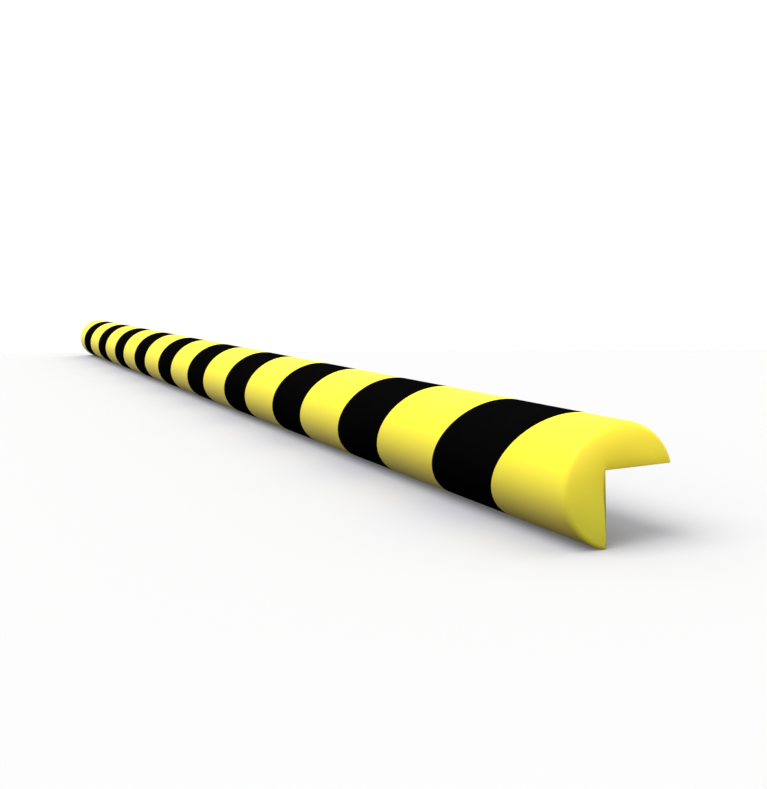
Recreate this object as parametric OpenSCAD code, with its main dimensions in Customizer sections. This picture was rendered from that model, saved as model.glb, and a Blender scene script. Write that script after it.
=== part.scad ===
// Impact protection strip: one length of moulded foam that clips over a square edge.
// The outside is part of a round bar. A square notch lets the edge in, and leaves an upper and
// a lower leg. Black bands lean round the outside, flush with it.
// Frame: X runs along the strip, the end at +X is the near one, Y and Z lie along the two walls
// of the notch. The origin is on the line where the walls meet, halfway along.

/* [Strip] */
// Length of the strip
length = 1000; // [300:10:2000]
// Diameter of the round outside
outer_d = 40; // [30:1:60]
// Distance from the axis of the outside to each wall of the notch
wall_offset = 5.5; // [3:0.1:8]

/* [Ends and tips] */
// What the flat on the tip of each leg takes off the length of the leg
tip_flat = 0.4; // [0.2:0.1:3]
// Radius between the round outside and each end face
end_r = 2.5; // [1:0.5:5]

/* [Warning bands] */
// Width of a black band, along the strip
band_w = 45.7; // [20:0.1:60]
// Distance from one black band to the next, along the strip
band_pitch = 98.1; // [70:0.1:140]
// Angle at which the bands lean away from square to the strip, on the unrolled outside
band_lean = 34.4; // [5:0.1:45]
// Least yellow left between the rounded edge of an end and the nearest point of a band
end_gap = 0.9; // [0.5:0.1:20]
// Depth of the black layer below the outside
print_depth = 0.5; // [0.3:0.1:1]

/* [Hidden] */
$fn = 120;

outer_r = outer_d / 2;
// Directions are angles in the section, from +Y towards +Z, seen from the axis of the outside.
outward_angle = 135;
// Distance from the axis to the tip of a leg, along its wall, if the tip were sharp
tip_reach = sqrt(outer_r * outer_r - wall_offset * wall_offset);
// Half of the angle that the round outside spans, from the outward side to the tip of a leg
half_span = outward_angle - asin(wall_offset / outer_r);
// How far a band runs ahead, along the strip, from the outward side to the tip of a leg
band_rise = outer_r * tan(band_lean) * half_span * PI / 180;
// Rings of the band cutters, and the angle by which they reach past both tips
ring_count = 25;
overreach_angle = 5;
ring_angle = 2 * (half_span + overreach_angle) / ring_count;
first_ring_angle = outward_angle - half_span - overreach_angle;
// Middle of the first band on the outward side, and how many bands the length takes
end_margin = end_r + end_gap + band_rise;
first_band = length / 2 - end_margin - band_w / 2;
band_count = 1 + floor((length - 2 * end_margin - band_w) / band_pitch);
// Length by which a cutter runs past what it cuts
past = 1;

// Turns a bar drawn along its own Z, from mid-length, to run along X.
// Its axis is then the axis of the round outside.
module along_strip() {
    translate([0, wall_offset, -wall_offset])
        rotate([90, 0, 90])
            children();
}

// Outline of a bar with rounded end edges, ready to be turned about its axis
module bar_half_outline() {
    translate([0, -length / 2])
        square([outer_r - end_r, length]);
    translate([0, end_r - length / 2])
        square([outer_r, length - 2 * end_r]);
    for (side = [-1, 1])
        translate([outer_r - end_r, side * (length / 2 - end_r)])
            circle(end_r);
}

// Square notch that the protected edge goes into
module notch() {
    translate([-wall_offset, -outer_d, -length])
        cube([2 * outer_d, outer_d + wall_offset, 2 * length]);
}

// What the flats take off the tips of the two legs
module tip_waste() {
    translate([-outer_d, tip_flat - tip_reach - outer_d, -length])
        cube([2 * outer_d, outer_d, 2 * length]);
    translate([tip_reach - tip_flat, -outer_d, -length])
        cube([outer_d, 2 * outer_d, 2 * length]);
}

// Four corners of a band's cutter where it crosses one direction of the section
function cutter_ring(direction, middle) =
    let (lead = (outward_angle - direction) * PI / 180 * outer_r * tan(band_lean))
    [for (corner = [[-1, -1], [1, -1], [1, 1], [-1, 1]])
        let (radius = outer_r + (corner[0] < 0 ? -print_depth : past))
        [radius * cos(direction), radius * sin(direction), middle + lead + corner[1] * band_w / 2]];

// Solid that cuts one band out of the outer skin: a flat bar swept along a helix
module band_cutter(middle) {
    points = [for (ring = [0 : ring_count]) each cutter_ring(first_ring_angle + ring * ring_angle, middle)];
    last = 4 * ring_count;
    sides = [for (ring = [0 : ring_count - 1], corner = [0 : 3])
        let (a = 4 * ring + corner, b = 4 * ring + (corner + 1) % 4)
        each [[a, b, b + 4], [a, b + 4, a + 4]]];
    ends = [[0, 3, 2], [0, 2, 1], [last, last + 1, last + 2], [last, last + 2, last + 3]];
    polyhedron(points, concat(sides, ends));
}

module band_cutters() {
    for (band = [0 : band_count - 1])
        band_cutter(first_band - band * band_pitch);
}

// Yellow foam body, with shallow seats for the bands
module foam_profile() {
    color([0.98, 0.93, 0.22])
        along_strip()
            difference() {
                rotate_extrude()
                    bar_half_outline();
                notch();
                tip_waste();
                band_cutters();
            }
}

// Black bands, flush with the outside
module black_bands() {
    color([0.03, 0.03, 0.03])
        along_strip()
            intersection() {
                difference() {
                    rotate_extrude()
                        bar_half_outline();
                    notch();
                    tip_waste();
                }
                band_cutters();
            }
}

foam_profile();
black_bands();
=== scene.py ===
# %% [markdown]
# An impact protection strip.
# The real object is one metre of soft moulded foam that is pushed over a hard square edge, so that
# people and pallets bump into foam. Outside it is part of a round bar, and inside it has a square
# notch for the edge. Black bands lean round its yellow skin, flush with it.
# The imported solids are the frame. They are in metres, with X along the strip and the origin where
# the two walls of the notch meet, and everything made here is set around them.

# %% The frame
import math
from collections import namedtuple

import bmesh
import bpy
from mathutils import Matrix, Vector


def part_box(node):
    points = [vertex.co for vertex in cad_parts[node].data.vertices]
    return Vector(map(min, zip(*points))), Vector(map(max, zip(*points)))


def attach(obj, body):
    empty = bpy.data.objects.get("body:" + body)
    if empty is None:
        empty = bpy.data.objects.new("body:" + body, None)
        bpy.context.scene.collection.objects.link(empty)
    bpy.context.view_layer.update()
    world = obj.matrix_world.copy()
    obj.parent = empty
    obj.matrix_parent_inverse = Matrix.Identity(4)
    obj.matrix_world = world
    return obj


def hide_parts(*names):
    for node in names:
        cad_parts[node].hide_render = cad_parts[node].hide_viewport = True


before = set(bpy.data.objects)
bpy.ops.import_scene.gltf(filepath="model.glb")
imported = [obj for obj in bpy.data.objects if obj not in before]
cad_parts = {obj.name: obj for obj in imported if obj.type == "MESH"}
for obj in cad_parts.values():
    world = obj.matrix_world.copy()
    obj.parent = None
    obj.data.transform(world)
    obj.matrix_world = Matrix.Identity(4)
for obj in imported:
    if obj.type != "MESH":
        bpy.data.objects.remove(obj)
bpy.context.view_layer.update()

print("nodes of the frame:", sorted(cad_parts))

# %% [markdown]
# Sizes come first. Most of them can be read from the frame: the box of the foam gives its length,
# how far the axis of the round outside stands from the notch, and how long the legs are. The box
# of the bands gives the middle of their row. Only what a box can't tell is written here, as the
# real size of the strip.

# %% Sizes
MM = 0.001

outer_r = 20 * MM
end_r = 1.5 * MM
band_w = 45.7 * MM
band_pitch = 98.1 * MM
band_lean = math.radians(35.6)
lean_direction = math.radians(68.6)
print_depth = 0.5 * MM
band_count = 10

foam_low, foam_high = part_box("foam_profile")
bands_low, bands_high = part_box("black_bands")
half_length = foam_high.x
wall_offset = outer_r + foam_low.y
leg_end = foam_high.y - wall_offset
axis = Vector((0, wall_offset, -wall_offset))
print("half length and wall offset in mm:", round(half_length / MM, 2), round(wall_offset / MM, 2))

# %% [markdown]
# The section is best seen from the axis of the round outside. There every point of it has a
# direction, counted from +Y towards +Z. The outside is always one radius away, and each wall of
# the notch is a straight line whose distance follows from the direction. The edges of a band are
# flat cuts that lean away from square to the strip, so how far a band runs ahead goes with a
# cosine. Columns number those directions, from the tip of the upper leg round to the tip of the
# lower one. The first and the last column lie on the corners where a leg's end meets its wall. Near
# the ends of the strip the outside shrinks as it rounds off, and the legs get shorter with it, so
# the directions are worked out for each radius.

# %% The section
last_column = 146
outward = math.radians(135)


def leg_reach(radius):
    """How far a leg reaches from the axis, where the outside has that radius."""
    return min(leg_end, math.sqrt(radius**2 - wall_offset**2))


def column_direction(radius, column):
    """Direction of a column in the section, on an outside of that radius."""
    reach = leg_reach(radius)
    corner = math.atan2(wall_offset, reach)
    tip = math.acos(reach / radius)
    if column == 0:
        return corner
    if column == last_column:
        return 2 * outward - corner
    return tip + 2 * (outward - tip) * (column - 1) / (last_column - 2)


def outside_distance(radius, column):
    """Distance from the axis to the skin."""
    if column in (0, last_column):
        return math.hypot(leg_reach(radius), wall_offset)
    return radius


def wall_distance(direction):
    """Distance from the axis to a wall of the notch."""
    return wall_offset / max(math.sin(direction), -math.cos(direction))


def lead(direction):
    """How far a band has run ahead along the strip, where it crosses that direction."""
    ahead = math.cos(direction - lean_direction) - math.cos(outward - lean_direction)
    return outer_r * math.tan(band_lean) * ahead


row_middle = (bands_low.x + bands_high.x) / 2
first_band = row_middle + band_pitch * (band_count - 1) / 2
print("first band in mm:", round(first_band / MM, 2))

# %% [markdown]
# Both pieces are made in the same way. A long thin profile, drawn from end to end of the strip, is
# spun round the axis, as the solids were. A spin makes plain circles, so each of its points is
# then seated: on the round outside, on a flat wall of the notch, or between the two on an end
# face. A row of the profile says where along the strip it lies, how much of the bands' lean it
# follows, how deep under the skin it lies, and its height between the wall (0) and the skin (1).

# %% Spinning a profile and seating it
Row = namedtuple("Row", "x lean inset height")


def seat(row, column):
    """Place of one point of a spun profile."""
    radius = outer_r - row.inset
    direction = column_direction(radius, column)
    wall = wall_distance(direction)
    distance = wall + (outside_distance(radius, column) - wall) * row.height
    return axis + Vector((
        row.x + row.lean * lead(direction),
        distance * math.cos(direction),
        distance * math.sin(direction),
    ))


def spun_profile(bm, rows):
    """Spins a closed profile round the axis, from tip to tip, and seats it."""
    row_number = bm.verts.layers.int.get("row") or bm.verts.layers.int.new("row")
    points = []
    for number, row in enumerate(rows):
        point = bm.verts.new(axis + Vector((row.x, outer_r, 0)))
        point[row_number] = number
        points.append(point)
    sides = [bm.edges.new((a, b)) for a, b in zip(points, points[1:] + points[:1])]
    step = 2 * outward / (last_column + 1)
    before = set(bm.verts) - set(points)
    bmesh.ops.spin(
        bm,
        geom=points + sides,
        cent=axis,
        axis=(1, 0, 0),
        angle=step * last_column,
        steps=last_column,
        use_duplicate=False,
    )
    for point in bm.verts:
        if point not in before:
            out = point.co - axis
            column = round((math.atan2(out.z, out.y) % math.tau) / step)
            point.co = seat(rows[point[row_number]], column)


outermost = seat(Row(x=0, lean=0, inset=0, height=1), last_column // 2)
print("outermost point of the section in mm:", [round(v / MM, 2) for v in outermost])

# %% [markdown]
# A spun mesh still has some loose ends. Where the foam's two sides meet on the tips of the legs,
# the same points lie there twice and are merged. A spin can also leave the faces pointing
# inwards, so they are turned outwards. All of it is shaded smooth, and each edge that turns by 15
# degrees or more is marked as a true edge, so that it stays crisp.

# %% Finishing a mesh
sharp_angle = math.radians(15)
tiny = 0.001 * MM


def finished_mesh(bm, name):
    """Merges doubles, points the faces outwards, marks the true edges and makes the object."""
    bmesh.ops.remove_doubles(bm, verts=bm.verts, dist=tiny)
    bmesh.ops.dissolve_degenerate(bm, edges=bm.edges, dist=tiny)
    bmesh.ops.recalc_face_normals(bm, faces=bm.faces)
    for face in bm.faces:
        face.smooth = True
    for edge in bm.edges:
        edge.smooth = edge.calc_face_angle(math.pi) < sharp_angle
    mesh = bpy.data.meshes.new(name)
    bm.to_mesh(mesh)
    bm.free()
    piece = bpy.data.objects.new(name, mesh)
    bpy.context.scene.collection.objects.link(piece)
    return piece


def open_edges(piece):
    """Edges of a piece that don't have a face on both sides."""
    bm = bmesh.new()
    bm.from_mesh(piece.data)
    count = sum(not edge.is_manifold for edge in bm.edges)
    bm.free()
    return count


# %% [markdown]
# The foam is one moulding. Its profile starts at the near end face, turns over the rounded edge,
# runs along the skin and dips into a shallow seat at each band, then turns over the far end. It
# comes back along the wall with the same rows, so that both sides meet point to point on the tips
# of the legs. A few rows just behind each rounded edge give the soft shading room to fade. The
# seats could also be cut with a boolean, but as rows of the profile they keep the mesh clean.

# %% The foam
quarter_turn = math.radians(90)
rounding_steps = 10
ease_steps = 4
ease_w = 5 * MM
face_rings = 12


def end_rows(end):
    """Rows from the end face over its rounded edge to the skin. end is 1 or -1."""
    rows = []
    for step in range(rounding_steps + 1):
        turn = quarter_turn * step / rounding_steps
        inset = end_r * (1 - math.sin(turn))
        x = half_length - end_r * (1 - math.cos(turn))
        rows.append(Row(end * x, 0, inset, 1))
    for step in range(1, ease_steps + 1):
        x = half_length - end_r - ease_w * step / ease_steps
        rows.append(Row(end * x, 0, 0, 1))
    return rows


def seat_rows(middle):
    """Rows down into the seat of a band, along its floor and up again."""
    near = middle + band_w / 2
    far = middle - band_w / 2
    return [
        Row(near, 1, 0, 1),
        Row(near, 1, print_depth, 1),
        Row(far, 1, print_depth, 1),
        Row(far, 1, 0, 1),
    ]


band_middles = [first_band - band * band_pitch for band in range(band_count)]
skin_rows = end_rows(1)
for middle in band_middles:
    skin_rows += seat_rows(middle)
skin_rows += reversed(end_rows(-1))
wall_rows = [row._replace(height=0) for row in reversed(skin_rows)]
ring_heights = [ring / face_rings for ring in range(1, face_rings)]
near_face = [skin_rows[0]._replace(height=height) for height in ring_heights]
far_face = [skin_rows[-1]._replace(height=1 - height) for height in ring_heights]

foam_bm = bmesh.new()
spun_profile(foam_bm, near_face + skin_rows + far_face + wall_rows)
foam = finished_mesh(foam_bm, "foam_body")
print("foam:", len(foam.data.polygons), "faces,", open_edges(foam), "open edges")

# %% [markdown]
# The black bands are slabs that fill those seats up to the skin. Each is a short profile of four
# rows, spun from tip to tip, and the two narrow ends that the spin leaves open are filled. A mask
# in the foam's material could paint them too, but as pieces they can have a colour and a finish
# of their own, and their edges stay sharp from close by.

# %% The bands
bands_bm = bmesh.new()
for middle in band_middles:
    spun_profile(bands_bm, seat_rows(middle))
bmesh.ops.remove_doubles(bands_bm, verts=bands_bm.verts, dist=tiny)
rims = [edge for edge in bands_bm.edges if edge.is_boundary]
bmesh.ops.holes_fill(bands_bm, edges=rims, sides=0)
bands = finished_mesh(bands_bm, "black_bands_print")
print("bands:", len(bands.data.polygons), "faces,", open_edges(bands), "open edges")

# %% [markdown]
# Foam swells a little as it cures, so a moulded end looks pillowed: light slides over it without a
# hard line where the rounded edge starts, although the face is almost flat. Modelling that swell
# would move the outline of the end. Instead the mesh gets custom normals there. They lean outwards
# more and more from the notch to the rim, turn over the rounded edge, and face straight outwards
# only a few millimetres further on. Close to the walls of the notch they lean the other way, into
# the notch. The upper leg is swollen more than the lower one, which the strip stands on.

# %% Soft ends
top_tilt = math.radians(36)
bottom_tilt = math.radians(13)
swell_power = 1.5
wall_tilt = math.radians(16)
wall_power = 2
wall_reach = 5 * MM
edge_share = 0.8
rim_r = outer_r - end_r
corner_r = wall_distance(outward)


def end_normal(place):
    """Soft normal of the foam at one point of an end, out to where the plain skin starts."""
    side = Vector((math.copysign(1, place.x), 0, 0))
    outwards = Vector((0, place.y, place.z)) - axis
    distance = outwards.length
    outwards.normalize()
    swell = (top_tilt + bottom_tilt) / 2 + (top_tilt - bottom_tilt) / 2 * outwards.z
    climb = min(1, max(0, (distance - corner_r) / (rim_r - corner_r)))
    tilt = swell * climb**swell_power
    depth = half_length - abs(place.x)
    if depth > tiny:
        turn = math.acos(max(0, 1 - depth / end_r)) / quarter_turn
        ease = max(0, depth - end_r) / ease_w
        share = edge_share * turn + (1 - edge_share) * ease
        tilt += (quarter_turn - tilt) * share
        return side * math.cos(tilt) + outwards * math.sin(tilt)
    normal = side * math.cos(tilt) + outwards * math.sin(tilt)
    if place.y > -tiny:
        normal.z -= math.sin(wall_tilt) * max(0, 1 - place.z / wall_reach) ** wall_power
    if place.z < tiny:
        normal.y += math.sin(wall_tilt) * max(0, 1 + place.y / wall_reach) ** wall_power
    return normal.normalized()


top_of_rim = Vector((half_length, wall_offset, rim_r - wall_offset))
lean_there = math.acos(end_normal(top_of_rim).x)
print("lean of the normals at the top of the rim, in degrees:", round(math.degrees(lean_there), 1))

# %% [markdown]
# Every corner of a face can have a normal of its own, and a zero vector keeps the plain one. Only
# the end faces, their rounded edges and the first of the skin get soft normals. The walls of the
# notch and the flats on the tips don't lie on the round skin, and keep theirs.

# %% Setting the normals
least_end_facing = 0.001


def soften_ends(piece):
    """Gives the corners near both ends their soft normals, and counts them."""
    mesh = piece.data
    normals = [Vector((0, 0, 0))] * len(mesh.loops)
    softened = 0
    for face in mesh.polygons:
        places = [mesh.vertices[v].co for v in face.vertices]
        near_end = all(half_length - abs(place.x) < end_r + ease_w + tiny for place in places)
        on_skin = all(abs(math.hypot(*(place - axis).yz) - outer_r) < tiny for place in places)
        if near_end and (on_skin or abs(face.normal.x) > least_end_facing):
            for loop, place in zip(face.loop_indices, places):
                normals[loop] = end_normal(place)
                softened += 1
    mesh.normals_split_custom_set(normals)
    return softened


print("softened corners:", soften_ends(foam))

# %% [markdown]
# Materials are node trees. Sums on sockets are easier to read as Python than as a row of Math
# nodes, so a small class wraps a socket, and an expression on it adds the nodes. Each operator
# also has its reflected form, which Python uses when a plain number stands on the left.

# %% Sums on sockets
class Term:
    """A socket that can be used in sums, such as 1 - grain * 0.2."""

    def __init__(self, tree, socket):
        self.tree = tree
        self.socket = socket

    def joined(self, operation, left, right):
        return node(self.tree, "Math", {"operation": operation}, {0: left, 1: right})

    def __add__(self, other):
        return self.joined("ADD", self, other)

    __radd__ = __add__

    def __sub__(self, other):
        return self.joined("SUBTRACT", self, other)

    def __rsub__(self, other):
        return self.joined("SUBTRACT", other, self)

    def __mul__(self, other):
        return self.joined("MULTIPLY", self, other)

    __rmul__ = __mul__


# %% [markdown]
# Every node comes from one function, which takes its kind, its settings and its inputs, and gives
# back one of its outputs as a term. The settings come first, because some of them change which
# sockets a node has. Three short functions on top of it name the nodes that come back often.

# %% Making nodes
def node(tree, kind, settings, inputs, output=0):
    """Adds one node: its settings first, then the values or links of its inputs."""
    added = tree.nodes.new("ShaderNode" + kind)
    for name, value in settings.items():
        setattr(added, name, value)
    for name, value in inputs.items():
        if isinstance(value, Term):
            tree.links.new(value.socket, added.inputs[name])
        else:
            added.inputs[name].default_value = value
    return Term(tree, added.outputs[output]) if len(added.outputs) > 0 else None


def mixed_colour(tree, share, first, second):
    """A colour between two, by a share. A Mix node keeps its colours in sockets 6, 7 and 2."""
    return node(tree, "Mix", {"data_type": "RGBA"}, {0: share, 6: first, 7: second}, 2)


def noise(tree, place, scale, detail):
    """A noise from 0 to 1, with about that many spots in a metre."""
    return node(tree, "TexNoise", {}, {"Vector": place, "Scale": scale, "Detail": detail}, "Fac")


def share_between(tree, value, start, end):
    """0 up to the start, 1 from the end on, and a straight climb between them."""
    return node(tree, "MapRange", {}, {"Value": value, "From Min": start, "From Max": end})


def new_material(name):
    """A material with an empty node tree."""
    material = bpy.data.materials.new(name)
    material.use_nodes = True
    material.node_tree.nodes.clear()
    return material


# %% [markdown]
# The foam has an integral skin: the mould leaves it closed and satin, with a faint cloudiness in
# its colour. A noise mixes two yellows, and its scale of 35 gives spots of a few centimetres. It
# is weak, because from a step away the skin looks even. The end faces get a yellow a shade
# deeper and more orange than the skin's. How far a point lies along the strip tells them apart
# from the skin. In the photograph the lower half of the skin is also a little paler and redder
# than the rest, and the lower part of the end face a little darker and greener. That is painted
# shade, the tint of the dimmer light low down on the strip, so a third colour of each comes in
# with the height.

# %% Yellow foam
yellow_light = (0.98, 0.88, 0.048, 1)
yellow_deep = (0.95, 0.84, 0.042, 1)
# Painted shade: the skin's colour low down, paler and redder, as the dimmer light there tints it.
yellow_painted_shade = (0.97, 0.79, 0.100, 1)
end_light = (0.97, 0.79, 0.057, 1)
end_deep = (0.94, 0.76, 0.050, 1)
# Painted shade: the end face's colour low down, darker and greener.
end_painted_shade = (0.80, 0.72, 0.060, 1)
skin_until = half_length - end_r
end_from = half_length - end_r / 4
high_until = 2 * MM
low_from = -14 * MM
foam_cloud_scale = 35

yellow = new_material("yellow_foam")
tree = yellow.node_tree
place = node(tree, "TexCoord", {}, {}, "Object")
along = node(tree, "SeparateXYZ", {}, {0: place}, "X")
height = node(tree, "SeparateXYZ", {}, {0: place}, "Z")
from_middle = node(tree, "Math", {"operation": "ABSOLUTE"}, {0: along})
at_end = share_between(tree, from_middle, skin_until, end_from)
# Painted shade: the low colours come in from 2 mm above the corner of the notch to 14 mm below it.
painted_shade_share = share_between(tree, height, high_until, low_from)
cloud = noise(tree, place, foam_cloud_scale, 3)
upper_skin = mixed_colour(tree, cloud, yellow_light, yellow_deep)
upper_end = mixed_colour(tree, cloud, end_light, end_deep)
skin_colour = mixed_colour(tree, painted_shade_share, upper_skin, yellow_painted_shade)
end_colour = mixed_colour(tree, painted_shade_share, upper_end, end_painted_shade)
colour = mixed_colour(tree, at_end, skin_colour, end_colour)
print("nodes of the foam's colour:", len(tree.nodes))

# %% [markdown]
# The skin has a very fine orange peel, as moulded foam has. A noise makes its swellings, about a
# millimetre wide, and a finer one adds a grain. Both go into a Bump node, which only bends the
# light. That is enough for relief of a few hundredths of a millimetre, and real faces that fine
# would be millions. The cloudiness also makes the skin here and there a little rougher.

# %% The foam's surface
foam_peel_scale = 900
grain_scale = 4000
peel_share = 0.7
peel_depth = 0.03 * MM
foam_peel_strength = 0.35
foam_roughness = 0.44
foam_rougher = 0.12
foam_shine = 0.10

peel = noise(tree, place, foam_peel_scale, 2)
grain = noise(tree, place, grain_scale, 1)
relief = node(
    tree,
    "Bump",
    {},
    {
        "Height": peel * peel_share + grain * (1 - peel_share),
        "Strength": foam_peel_strength,
        "Distance": peel_depth,
    },
)
skin = node(
    tree,
    "BsdfPrincipled",
    {},
    {
        "Base Color": colour,
        "Roughness": cloud * foam_rougher + foam_roughness,
        "Specular IOR Level": foam_shine,
        "Normal": relief,
    },
)
node(tree, "OutputMaterial", {}, {"Surface": skin})
foam.data.materials.append(yellow)
print("nodes of the yellow foam:", len(tree.nodes))

# %% [markdown]
# The bands are a thin layer of black foam paint. It is matt and has no shine, so its specular
# level is zero and its roughness is high. The black isn't quite even: a noise mixes two blacks, and
# a weak peel like that of the foam lies over it.

# %% Black print
black_light = (0.0024, 0.0024, 0.0026, 1)
black_deep = (0.0014, 0.0014, 0.0015, 1)
print_cloud_scale = 60
print_peel_scale = 1100
print_peel_strength = 0.3
print_roughness = 0.62
print_rougher = 0.15
print_shine = 0.0

black = new_material("black_print")
tree = black.node_tree
place = node(tree, "TexCoord", {}, {}, "Object")
cloud = noise(tree, place, print_cloud_scale, 3)
peel = noise(tree, place, print_peel_scale, 2)
relief = node(
    tree,
    "Bump",
    {},
    {"Height": peel, "Strength": print_peel_strength, "Distance": peel_depth},
)
skin = node(
    tree,
    "BsdfPrincipled",
    {},
    {
        "Base Color": mixed_colour(tree, cloud, black_light, black_deep),
        "Roughness": cloud * print_rougher + print_roughness,
        "Specular IOR Level": print_shine,
        "Normal": relief,
    },
)
node(tree, "OutputMaterial", {}, {"Surface": skin})
bands.data.materials.append(black)
print("nodes of the black print:", len(tree.nodes))

# %% [markdown]
# The strip stands on its lower leg, on a pale plate. In the photograph the floor ends at a faint
# line behind the strip. To have it there, the plate is laid out from the place below the camera,
# turned, and reaches ahead as far as that line.

# %% The floor plate
floor_ahead = 1.087
floor_behind = 1.5
floor_half_width = 3
floor_azimuth = math.radians(47.4)

camera_place = Vector((0.7735725, -0.1873023, 0.0620161))
under_camera = Vector((camera_place.x, camera_place.y, foam_low.z))
plate_half_size = (floor_half_width, (floor_ahead + floor_behind) / 2, 1)
plate_middle = (0, (floor_ahead - floor_behind) / 2, 0)
plate_turn = Matrix.Rotation(floor_azimuth, 4, "Z")

floor_bm = bmesh.new()
bmesh.ops.create_grid(floor_bm, x_segments=1, y_segments=1, size=1)
bmesh.ops.scale(floor_bm, vec=plate_half_size, verts=floor_bm.verts)
bmesh.ops.translate(floor_bm, vec=plate_middle, verts=floor_bm.verts)
bmesh.ops.transform(
    floor_bm,
    matrix=Matrix.Translation(under_camera) @ plate_turn,
    verts=floor_bm.verts,
)
floor_mesh = bpy.data.meshes.new("floor")
floor_bm.to_mesh(floor_mesh)
floor_bm.free()
floor = bpy.data.objects.new("floor", floor_mesh)
bpy.context.scene.collection.objects.link(floor)
print("floor normal:", [round(v, 3) for v in floor.data.polygons[0].normal])

# %% [markdown]
# To the camera the floor is nearly as white as the background, apart from the strip's own shadow.
# Painted shade makes it a little darker in every nook, which an ambient occlusion node finds, and
# a little bluish there too, against the yellow light that the foam throws there. A weak glow,
# which is painted light, lifts the floor's shadows. To the light that bounces back up to the foam
# the floor is almost black, because in the photograph the underside gets hardly any light. A
# Light Path node tells the two apart.

# %% The floor's paint
seen_floor = 0.511
# Painted light: an even glow on the floor, which lifts its shadows.
painted_floor_glow = 0.10
# Painted shade in the nooks, with a bluish tint there against the foam's yellow light.
painted_nook_shade = 0.38
nook_reach = 0.15
painted_nook_blue = 0.15
lit_floor = 0.01


def seen_directly(tree):
    """1 for light that reaches the camera straight, or by a reflection or through glass."""
    camera_ray = node(tree, "LightPath", {}, {}, "Is Camera Ray")
    glossy_ray = node(tree, "LightPath", {}, {}, "Is Glossy Ray")
    through_ray = node(tree, "LightPath", {}, {}, "Is Transmission Ray")
    return camera_ray + glossy_ray + through_ray


floor_paint = new_material("floor_paint")
tree = floor_paint.node_tree
openness = node(tree, "AmbientOcclusion", {}, {"Distance": nook_reach}, "AO")
nook = 1 - openness
# Painted shade: darker where the ambient occlusion finds a nook, and a little bluish there.
level = (1 - nook * painted_nook_shade) * seen_floor
blue_level = (1 + nook * painted_nook_blue) * level
grey = node(tree, "CombineColor", {}, {0: level, 1: level, 2: blue_level})
seen = node(tree, "BsdfDiffuse", {}, {"Color": grey})
# Painted light: the floor's glow.
glow = node(tree, "Emission", {}, {"Strength": painted_floor_glow})
shown = node(tree, "AddShader", {}, {0: seen, 1: glow})
lit = node(tree, "BsdfDiffuse", {}, {"Color": (lit_floor, lit_floor, lit_floor, 1)})
paint = node(tree, "MixShader", {}, {0: seen_directly(tree), 1: lit, 2: shown})
node(tree, "OutputMaterial", {}, {"Surface": paint})
floor.data.materials.append(floor_paint)
print("nodes of the floor's paint:", len(tree.nodes))

# %% [markdown]
# An even sky and three lamps light the strip. The sky lights it from all round above. What the
# camera sees behind the strip is plain white, and not the sky that lights it.

# %% The sky
sky_level = 0.60
white = (1, 1, 1, 1)

world = bpy.data.worlds.new("sky")
world.use_nodes = True
bpy.context.scene.world = world
tree = world.node_tree
tree.nodes.clear()
backdrop = node(tree, "Background", {}, {"Color": white, "Strength": 1})
sky = node(tree, "Background", {}, {"Color": white, "Strength": sky_level})
both = node(tree, "MixShader", {}, {0: seen_directly(tree), 1: sky, 2: backdrop})
node(tree, "OutputWorld", {}, {"Surface": both})
print("nodes of the sky:", len(tree.nodes))

# %% [markdown]
# A broad lamp stands above the round side of the strip, so the skin is brightest on top and
# darkens round to the underside. A weaker lamp lights the end face. The weakest one stands above
# the back of the strip and reaches in below the upper leg. Area lamps would do as well, but they
# would light one end of the long strip more than the other, and a distant lamp lights it evenly.

# %% The lamps
key_level = 1.0
fill_level = 0.30
rear_level = 0.20
broad = math.radians(50)
narrow = math.radians(30)


def lamp(name, towards, level, width):
    """A soft distant lamp. A white face turned to it looks as bright as its level."""
    data = bpy.data.lights.new(name, "SUN")
    data.energy = level * math.pi
    data.angle = width
    placed = bpy.data.objects.new(name, data)
    bpy.context.scene.collection.objects.link(placed)
    placed.rotation_euler = Vector(towards).to_track_quat("Z", "Y").to_euler()


lamp("key", (0.02, -0.50, 0.87), key_level, broad)
lamp("fill", (0.95, 0.10, 0.29), fill_level, narrow)
lamp("rear", (0.00, 0.50, 0.87), rear_level, broad)
print("lamps:", [thing.name for thing in bpy.context.scene.objects if thing.type == "LIGHT"])

# %% [markdown]
# The camera stands low, near one end, and looks along the strip, so the other end runs away into
# the distance. Its place, direction and focal length were fitted to the outline, the walls of the
# notch and the edges of the bands in the photograph. The focal length is in pixels of its height.

# %% The camera
azimuth = math.radians(67.02)
elevation = math.radians(6.502)
roll = math.radians(-1.83)
focal_px = 1102.93
photo_height = 789
sensor_w = 36

camera_data = bpy.data.cameras.new("camera")
camera_data.sensor_width = sensor_w
camera_data.lens = sensor_w * focal_px / photo_height
camera_data.clip_start = 0.01
camera = bpy.data.objects.new("camera", camera_data)
bpy.context.scene.collection.objects.link(camera)
back = Vector((
    math.sin(azimuth) * math.cos(elevation),
    -math.cos(azimuth) * math.cos(elevation),
    math.sin(elevation),
))
camera_turn = back.to_track_quat("Z", "Y").to_matrix().to_4x4() @ Matrix.Rotation(roll, 4, "Z")
camera.matrix_world = Matrix.Translation(camera_place) @ camera_turn
bpy.context.scene.camera = camera
print("camera looks towards:", [round(-v, 3) for v in back])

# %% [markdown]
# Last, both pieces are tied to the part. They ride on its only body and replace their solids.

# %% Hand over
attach(foam, "root")
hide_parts("foam_profile")
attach(bands, "root")
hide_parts("black_bands")

bpy.context.scene.view_settings.view_transform = "Standard"
